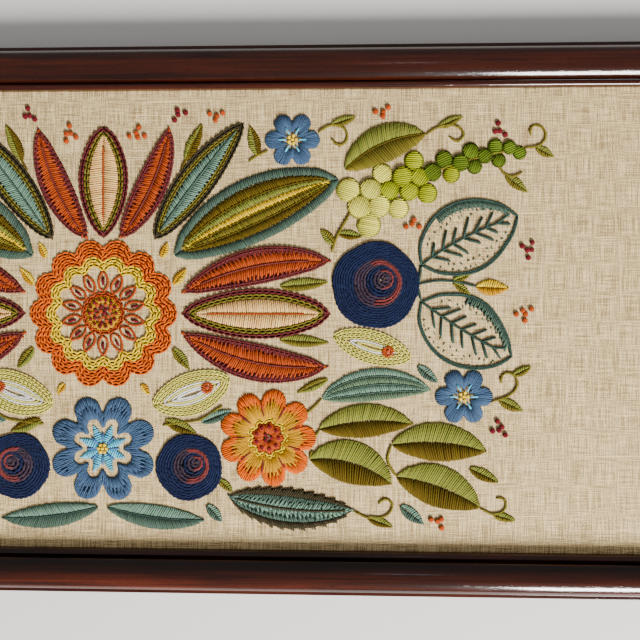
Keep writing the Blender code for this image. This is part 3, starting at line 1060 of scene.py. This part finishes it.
def berry_spray(wool, leaf):
    """Close-set round berries, smaller and darker towards the tip, in rows across an olive stem."""
    run = lengths_along(leaf.middle)
    spans = np.linalg.norm(leaf.upper - leaf.lower, axis=1) / 2
    across = (leaf.upper - leaf.lower) / np.maximum(2 * spans, 1e-6)[:, None]
    wool.stem(leaf.middle, "olive", width=1.6)
    # Lighter painted shade on the sides of the berries' strands, so that the satin stripes are softer.
    wool.under_shade = 0.55
    root_radius, tip_radius = 8.0, 4.3
    root_half, tip_half = 21.5, 5.0
    place, row = root_radius, 0
    while place < run[-1] - 3.0:
        share = place / run[-1]
        radius = root_radius + (tip_radius - root_radius) * share**0.7
        half = max(root_half + (tip_half - root_half) * share, radius)
        fitting = 1 + max(int((half - radius) / (radius * 0.94) + 0.5), 0)
        count = fitting if row % 2 == 0 or fitting == 1 else fitting - 1
        spine = sample(leaf.middle, run, [place])[0]
        spoke = sample(across, run, [np.clip(place, 12, run[-1] - 12)])[0]
        for k in range(count):
            slot = (k - (count - 1) / 2) * radius * 1.88
            if fitting == 1:
                slot = (1 if row % 2 else -1) * radius * 0.55
            centre = spine + spoke * slot + wool.random.normal(0, 0.4, 2)
            shade = share + wool.random.normal(0, 0.06)
            colour = "pale_lime" if shade < 0.27 else "lime" if shade < 0.6 else "dark_lime"
            lean = leaf.side * wool.random.uniform(-20, 75)
            size = radius * wool.random.uniform(0.93, 1.04)
            tint = wool.random.uniform(0.82, 1.08)
            level = 0.45 * (row % 2) + 0.2 * (k % 2)
            satin_disc(wool, centre, size, colour, lean, level, tint)
        place += radius * (1.64 if fitting > 1 else 1.5)
        row += 1


# Stems on the right-hand half, in millimetres: a colour, a width, and the points that they pass
STEMS = [
    ("dark_teal", 1.7, [(209, 22), (210, 28), (211, 36)]),
    ("dark_teal", 1.7, [(209, 22), (210, 17), (211, 12)]),
    ("dark_teal", 1.5, [(210, 24), (222, 26), (236, 25), (247, 22)]),
    ("olive", 1.6, [(141, -77), (143, -75), (145, -72)]),
    ("olive", 1.6, [(140, -86), (138, -89), (138, -92)]),
    ("olive", 1.8, [(192, -82), (189, -92), (195, -103)]),
    ("olive", 1.5, [(130, -65), (138, -60), (146, -52)]),
    ("olive", 1.5, [(110, 112), (103, 109), (97, 105)]),
    ("olive", 1.8, [(152, 45), (156, 56), (164, 70)]),
    ("olive", 1.5, [(143, 124), (152, 129), (161, 126), (162, 118), (156, 115), (152, 120)]),
    ("olive", 1.5, [(214, 122), (222, 127), (233, 128), (239, 122), (234, 117), (229, 121)]),
    ("olive", 1.5, [(278, 113), (287, 114), (292, 120), (289, 127), (282, 127), (282, 121)]),
    ("olive", 1.5, [(257, -53), (267, -50), (274, -43), (271, -35), (264, -35), (263, -41)]),
    ("olive", 1.5, [(166, -125), (176, -130), (188, -129), (193, -122), (188, -117), (183, -121)]),
    ("olive", 1.5, [(259, 106), (264, 97), (270, 94), (277, 97)]),
    ("olive", 1.5, [(250, -123), (258, -127), (266, -124), (266, -117), (260, -116)]),
    ("olive", 1.5, [(40, -70), (56, -68), (66, -66), (80, -57)]),
    ("dark_olive", 1.5, [(52, 100), (57, 110), (62, 126)]),
]

# Small leaves beside the stems: base, tip, half width and two wools
SPRIGS = [
    ((247, 22), (268, 21), 5.4, "yellow", "gold"),
    ((232, 26), (243, 30), 2.4, "sage", "olive"),
    ((232, 25), (243, 17), 2.4, "sage", "olive"),
    ((152, 129), (168, 134), 3.4, "sage", "olive"),
    ((103, 109), (98, 128), 4.4, "sage", "dark_olive"),
    ((222, 127), (238, 134), 3.4, "sage", "olive"),
    ((286, 113), (297, 107), 3.2, "sage", "olive"),
    ((266, 95), (280, 84), 3.6, "sage", "olive"),
    ((262, -52), (277, -59), 3.8, "sage", "olive"),
    ((271, -36), (283, -30), 3.2, "sage", "olive"),
    ((176, -130), (193, -136), 3.4, "sage", "dark_olive"),
    ((198, -122), (213, -134), 4.4, "light_teal", "teal"),
    ((39, 41), (43, 51), 2.8, "gold", "yellow"),
    ((47, 23), (56, 34), 3.2, "gold", "yellow"),
    ((26, -43), (31, -50), 2.4, "gold", "yellow"),
    ((47, -19), (58, -33), 3.6, "sage", "olive"),
    ((154, 50), (145, 60), 3.4, "sage", "olive"),
    ((157, 57), (172, 55), 3.2, "sage", "dark_olive"),
    ((209, -30), (222, -41), 3.6, "light_teal", "teal"),
    ((70, -123), (80, -134), 3.8, "light_teal", "teal"),
    ((55, 106), (66, 130), 4.4, "sage", "dark_olive"),
    ((118, 22), (150, 25), 4.4, "sage", "olive"),
    ((118, -13), (150, -15), 4.2, "sage", "olive"),
    ((150, -39), (130, -48), 3.4, "sage", "olive"),
    ((42, -67), (62, -75), 4.4, "sage", "dark_olive"),
    ((66, -68), (86, -60), 4.0, "light_teal", "teal"),
    ((258, -127), (273, -131), 3.2, "sage", "olive"),
    ((243, -97), (262, -106), 4.2, "sage", "dark_olive"),
    ((78, -106), (87, -114), 3.0, "sage", "olive"),
]

# Clusters of knots: centre, how many, colour
CLUSTERS = [
    ((22, 124), 5, "rust"),
    ((50, 136), 4, "dark_red"),
    ((76, 135), 4, "rust"),
    ((186, 137), 4, "rust"),
    ((262, 124), 4, "dark_red"),
    ((205, 63), 4, "rust"),
    ((280, 46), 5, "dark_red"),
    ((279, 4), 5, "rust"),
    ((262, -72), 5, "dark_red"),
    ((222, -132), 4, "rust"),
]


def knot_cluster(wool, centre, count, colour):
    start = wool.random.uniform(0, 360)
    for k in range(count):
        place = np.array(centre) + turned((2.6 * math.sqrt(k * 1.3), 0.0), start + 137.5 * k)
        wool.knot(place, colour)


def sprig(wool, base, tip, half_width, light, dark):
    """A small two-tone leaf between two points."""
    base, tip = np.array(base, float), np.array(tip, float)
    stations = np.linspace(0, 1, 15)[:, None]
    middle = base + (tip - base) * stations
    run = (tip - base) / np.linalg.norm(tip - base)
    across = np.array([-run[1], run[0]]) * half_width
    width = np.sin(math.pi * stations**0.85) ** 0.8
    wool.satin(middle, middle + across * width, light, slant=1.4)
    wool.satin(middle, middle - across * width, dark, slant=1.4)


def stems_and_sprigs(side, sign):
    """The stems, tendrils, sprigs and knots of one half, which stand on the linen alone."""
    wool = Wool(31 if sign > 0 else 32)
    mirror = np.array([sign, 1.0])
    for colour, width, points in STEMS:
        line = smooth_line(np.array(points, float) * mirror)
        wool.stem(line, colour, width=width)
    for base, tip, half_width, light, dark in SPRIGS:
        sprig(wool, np.array(base) * mirror, np.array(tip) * mirror, half_width, light, dark)
    for centre, count, colour in CLUSTERS:
        knot_cluster(wool, np.array(centre) * mirror, count, colour)
    wool.finish(f"stems_and_sprigs_{side}", slot="wool_olive")


def bow(start, end, crest, rise, steps):
    """Points over a shallow circular arc, which is highest half way between its ends."""
    half = (end - start) / 2
    radius = (half**2 + rise**2) / (2 * rise)
    reach = math.asin(half / radius)
    middle = (start + end) / 2
    angles = np.linspace(-reach, reach, steps)
    return [(middle + radius * math.sin(a), crest - radius + radius * math.cos(a)) for a in angles]


def half_ellipse(start, end, base, rise, steps):
    middle, half = (start + end) / 2, (end - start) / 2
    angles = np.linspace(math.pi, 0, steps)
    return [(middle + half * math.cos(a), base + rise * math.sin(a)) for a in angles]


def rail_section(looks):
    """The moulding's outline, closely stepped, from the outer edge over the face and back."""
    width = RAIL_HIGH.y - RAIL_LOW.y
    gap = 0.3
    top, foot = looks.fillet_top, RAIL_HIGH.z - looks.body_rise
    runs = [
        [(0.0, 0.0), (0.0, top - 0.8), (0.12, top - 0.4), (0.4, top - 0.08), (0.8, top)],
        [(looks.fillet_width - 0.2, top), (looks.fillet_width + 0.1, top - 0.3)],
        [(looks.body_start - 0.12, top - 0.2), (looks.body_start - 0.1, foot - 0.5)],
        bow(looks.body_start, looks.body_end, RAIL_HIGH.z, looks.body_rise, 33),
        [(looks.body_end + 0.12, foot - 0.35), (looks.body_end + 0.3, looks.bead_base + 0.3)],
        half_ellipse(looks.bead_start, width, looks.bead_base, looks.bead_rise, 15),
        [(width, LINEN_TOP + gap), (width - looks.groove, LINEN_TOP + gap)],
        [(width - looks.groove, LINEN_LOW.z - gap), (width, LINEN_LOW.z - gap)],
        [(width, 0.0)],
    ]
    return np.array([point for run in runs for point in run])


def add_rail(name, length, offset, degrees, looks, material):
    """One mitred rail with its grain running along it."""
    section = rail_section(looks)
    count = len(section)
    mitre_gap = 0.3 / math.sqrt(2)
    shares = np.linspace(-1, 1, 9)
    rings = []
    for share in shares:
        x = share * (length / 2 - section[:, 0] - mitre_gap)
        rings.append(np.stack([x, section[:, 0] - offset, section[:, 1]], axis=1))
    points = np.vstack(rings)
    angle = math.radians(degrees)
    turn = np.array([[math.cos(angle), math.sin(angle)], [-math.sin(angle), math.cos(angle)]])
    placed = points.copy()
    placed[:, :2] = points[:, :2] @ turn
    faces = []
    for ring in range(len(shares) - 1):
        start = ring * count
        for k in range(count):
            after = (k + 1) % count
            faces.append((start + k, start + count + k, start + count + after, start + after))
    faces.append(tuple(range(count)))
    faces.append(tuple(range(len(points) - 1, len(points) - count - 1, -1)))
    rail = piece_from(name, placed, faces, material)
    mesh = rail.data
    mesh.set_sharp_from_angle(angle=math.radians(32))
    around = lengths_along(np.vstack([section, section[:1]]))[:-1]
    layer = mesh.uv_layers.new(name="grain")
    for loop, corner in zip(mesh.loops, layer.uv):
        k = loop.vertex_index
        corner.vector = (points[k, 0] * MM + degrees, around[k % count] * MM)
    # The profile map runs across the section and places the frame's painted shade.
    layer = mesh.uv_layers.new(name="profile")
    for loop, corner in zip(mesh.loops, layer.uv):
        k = loop.vertex_index % count
        corner.vector = (section[k, 0] / section[:, 0].max(), 0.5)
    return rail


def add_linen(looks):
    """The ground cloth, a little uneven between the rails as stretched linen is."""
    columns, rows = 101, 43
    x = np.linspace(LINEN_LOW.x, LINEN_HIGH.x, columns)
    y = np.linspace(LINEN_LOW.y, LINEN_HIGH.y, rows)
    across, up = np.meshgrid(x, y)
    inside = np.minimum(1 - np.abs(across / LINEN_HIGH.x), 1 - np.abs(up / LINEN_HIGH.y))
    held = np.clip(inside * 8, 0, 1)
    ripple = np.sin(across * 0.031 + up * 0.017) + np.sin(across * 0.013 - up * 0.049 + 1.7)
    top = np.full(across.shape, LINEN_TOP) - 0.045 * held * (1.5 + ripple)
    bottom = np.full(across.shape, LINEN_LOW.z)
    layers = [np.stack([across, up, z], axis=2).reshape(-1, 3) for z in (top, bottom)]
    points = np.vstack(layers)
    size = columns * rows
    grid = np.arange(size).reshape(rows, columns)
    quads = np.stack([grid[:-1, :-1], grid[:-1, 1:], grid[1:, 1:], grid[1:, :-1]], axis=2)
    upper = quads.reshape(-1, 4)
    under = upper[:, ::-1] + size
    rim = np.concatenate([grid[0, :-1], grid[:-1, -1], grid[-1, :0:-1], grid[:0:-1, 0]])
    after = np.roll(rim, -1)
    wall = np.stack([rim, rim + size, after + size, after], axis=1)
    faces = np.vstack([upper, under, wall])
    cloth = piece_from("linen_ground", points, faces, linen_finish(looks))
    cloth.data.set_sharp_from_angle(angle=math.radians(50))
    return cloth


class CrewelOperator:
    """What the panel's operators share: they can be undone, and an error stops the script."""

    bl_options = {"REGISTER", "UNDO"}

    def execute(self, context):
        self.make(context.scene)
        return {"FINISHED"}


class CREWEL_OT_frame(CrewelOperator, bpy.types.Operator):
    """Make the four mitred rails of the mahogany frame"""

    bl_idname = "crewel.frame"
    bl_label = "Frame"

    def make(self, scene):
        looks = scene.crewel_frame
        material = mahogany_finish(looks)
        rails = [
            ("bottom", PANEL_WIDTH, PANEL_HEIGHT / 2, 0),
            ("right", PANEL_HEIGHT, PANEL_WIDTH / 2, 90),
            ("top", PANEL_WIDTH, PANEL_HEIGHT / 2, 180),
            ("left", PANEL_HEIGHT, PANEL_WIDTH / 2, 270),
        ]
        for side, length, offset, degrees in rails:
            rail = add_rail(f"moulding_{side}", length, offset, degrees, looks, material)
            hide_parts(f"rail_{side}")


class CREWEL_OT_linen(CrewelOperator, bpy.types.Operator):
    """Make the stretched linen ground"""

    bl_idname = "crewel.linen"
    bl_label = "Linen ground"

    def make(self, scene):
        cloth = add_linen(scene.crewel_linen)
        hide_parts("linen")


class CREWEL_OT_petals(CrewelOperator, bpy.types.Operator):
    """Stitch the crest's and the tulips' petals"""

    bl_idname = "crewel.petals"
    bl_label = "Petals"

    def make(self, scene):
        work_motifs(peach_petal, Leaf, ("crest_petal_middle", "tulip_petal_middle"))
        work_motifs(maroon_petal, Leaf, ("crest_petal", "tulip_petal_upper", "tulip_petal_lower"))


class CREWEL_OT_leaves(CrewelOperator, bpy.types.Operator):
    """Stitch the striped, serrated, veined, grey and olive leaves"""

    bl_idname = "crewel.leaves"
    bl_label = "Leaves"

    def make(self, scene):
        work_motifs(striped_leaf, Leaf, ("striped_leaf",))
        work_motifs(serrated("dark_brown", "olive", "light_teal", "teal"), Leaf, ("serrated_leaf",))
        work_motifs(jagged("dark_brown", "teal", "light_teal"), Leaf, ("brown_leaf",))
        work_motifs(two_tone("light_teal", "teal", "dark_teal"), Leaf, ("foot_leaf",))
        olive = ("olive_leaf_a", "olive_leaf_b", "olive_leaf_c", "olive_leaf_d")
        work_motifs(two_tone("sage", "dark_olive"), Leaf, olive)
        work_motifs(banded_leaf, Leaf, ("grey_leaf",))
        work_motifs(two_tone("sage", "olive", "dark_olive"), Leaf, ("spray_leaf",))
        work_motifs(veined_leaf, Leaf, ("veined_leaf_upper", "veined_leaf_lower"))


class CREWEL_OT_buds(CrewelOperator, bpy.types.Operator):
    """Stitch the cream buds"""

    bl_idname = "crewel.buds"
    bl_label = "Buds"

    def make(self, scene):
        work_motifs(bud, Leaf, ("cream_bud_inner", "cream_bud_outer"))


class CREWEL_OT_flowers(CrewelOperator, bpy.types.Operator):
    """Stitch the great bloom, the star flowers, the daisies and the roses"""

    bl_idname = "crewel.flowers"
    bl_label = "Flowers"

    def make(self, scene):
        work_motifs(great_bloom, Round, ("great_bloom",))
        work_motifs(star_flower, Round, ("star_flower",))
        work_motifs(small_star, Round, ("small_star_upper", "small_star_lower"))
        work_motifs(daisy, Round, ("daisy",))
        work_motifs(rose, Round, ("rose_upper", "rose_lower"))


class CREWEL_OT_berries(CrewelOperator, bpy.types.Operator):
    """Stitch the berry sprays"""

    bl_idname = "crewel.berries"
    bl_label = "Berry sprays"

    def make(self, scene):
        work_motifs(berry_spray, Leaf, ("berry_spray",))


class CREWEL_OT_stems(CrewelOperator, bpy.types.Operator):
    """Stitch the stems, tendrils, sprigs and knots between the motifs"""

    bl_idname = "crewel.stems"
    bl_label = "Stems and sprigs"

    def make(self, scene):
        for side, sign in zip(SIDES, (1, -1)):
            stems_and_sprigs(side, sign)


def add_light(name, place, target, size, power, colour=(1.0, 1.0, 1.0)):
    """A square soft light at a place in metres, looking at a target."""
    light = bpy.data.lights.new(name, "AREA")
    light.shape = "RECTANGLE"
    light.size, light.size_y = size
    light.energy = power
    light.color = colour
    lamp = bpy.data.objects.new(name, light)
    lamp.location = place
    aim = Vector(target) - Vector(place)
    lamp.rotation_euler = aim.to_track_quat("-Z", "Y").to_euler()
    bpy.context.scene.collection.objects.link(lamp)
    return lamp


class CREWEL_OT_stage(CrewelOperator, bpy.types.Operator):
    """Make the floor, the soft light and the camera over the panel's right half"""

    bl_idname = "crewel.stage"
    bl_label = "Stage"

    YAW = 1.8
    ROLL = 0.14
    FIELD_OF_VIEW = 50.0
    SENSOR = 36.0

    def make(self, scene):
        looks = scene.crewel_stage
        points = np.array([(-4.0, -4.0), (4.0, -4.0), (4.0, 4.0), (-4.0, 4.0)])
        points = np.column_stack([points, np.zeros(4)])
        data = bpy.data.meshes.new("floor")
        data.from_pydata(points, [], [(0, 1, 2, 3)])
        data.materials.append(floor_finish(looks))
        floor = bpy.data.objects.new("floor", data)
        scene.collection.objects.link(floor)

        world = scene.world or bpy.data.worlds.new("studio")
        scene.world = world
        world.use_nodes = True
        background = world.node_tree.nodes["Background"]
        background.inputs["Color"].default_value = (1.0, 0.985, 0.965, 1.0)
        background.inputs["Strength"].default_value = looks.sky

        middle = (0.28, 0.0, 0.0)
        add_light("window", (1.25, -2.11, 1.22), middle, (0.8, 0.75), looks.key_power, (1.0, 0.98, 0.945))
        add_light("ceiling", (0.34, 0.22, 1.55), middle, (0.16, 0.12), looks.ceiling_power, (0.86, 0.87, 1.0))

        camera = bpy.data.cameras.new("camera")
        camera.sensor_width = self.SENSOR
        camera.lens = self.SENSOR / 2 / math.tan(math.radians(self.FIELD_OF_VIEW / 2))
        camera.clip_start = 0.02
        eye = bpy.data.objects.new("camera", camera)
        eye.location = (looks.camera_x * MM, 0.0, looks.camera_height * MM)
        eye.rotation_euler = (0.0, math.radians(self.YAW), math.radians(self.ROLL))
        scene.collection.objects.link(eye)
        scene.camera = eye


OPERATORS = (
    CREWEL_OT_frame,
    CREWEL_OT_linen,
    CREWEL_OT_petals,
    CREWEL_OT_leaves,
    CREWEL_OT_buds,
    CREWEL_OT_flowers,
    CREWEL_OT_berries,
    CREWEL_OT_stems,
    CREWEL_OT_stage,
)


class CREWEL_PT_panel(bpy.types.Panel):
    """The settings and the operators, in the order in which they are run"""

    bl_idname = "CREWEL_PT_panel"
    bl_label = "Crewel panel"
    bl_space_type = "VIEW_3D"
    bl_region_type = "UI"
    bl_category = "Crewel"

    def draw(self, context):
        layout = self.layout
        for group, settings in SETTINGS.items():
            box = layout.box()
            for name in settings.__annotations__:
                box.prop(getattr(context.scene, group), name)
        for operator in OPERATORS:
            layout.operator(operator.bl_idname)


CLASSES = (*SETTINGS.values(), *OPERATORS, CREWEL_PT_panel)


def register():
    for each in CLASSES:
        bpy.utils.register_class(each)
    for group, settings in SETTINGS.items():
        setattr(bpy.types.Scene, group, bpy.props.PointerProperty(type=settings))


def unregister():
    for group in SETTINGS:
        delattr(bpy.types.Scene, group)
    for each in reversed(CLASSES):
        bpy.utils.unregister_class(each)


def main():
    register()
    for operator in OPERATORS:
        group, name = operator.bl_idname.split(".")
        getattr(getattr(bpy.ops, group), name)()


if __name__ == "__main__":
    main()
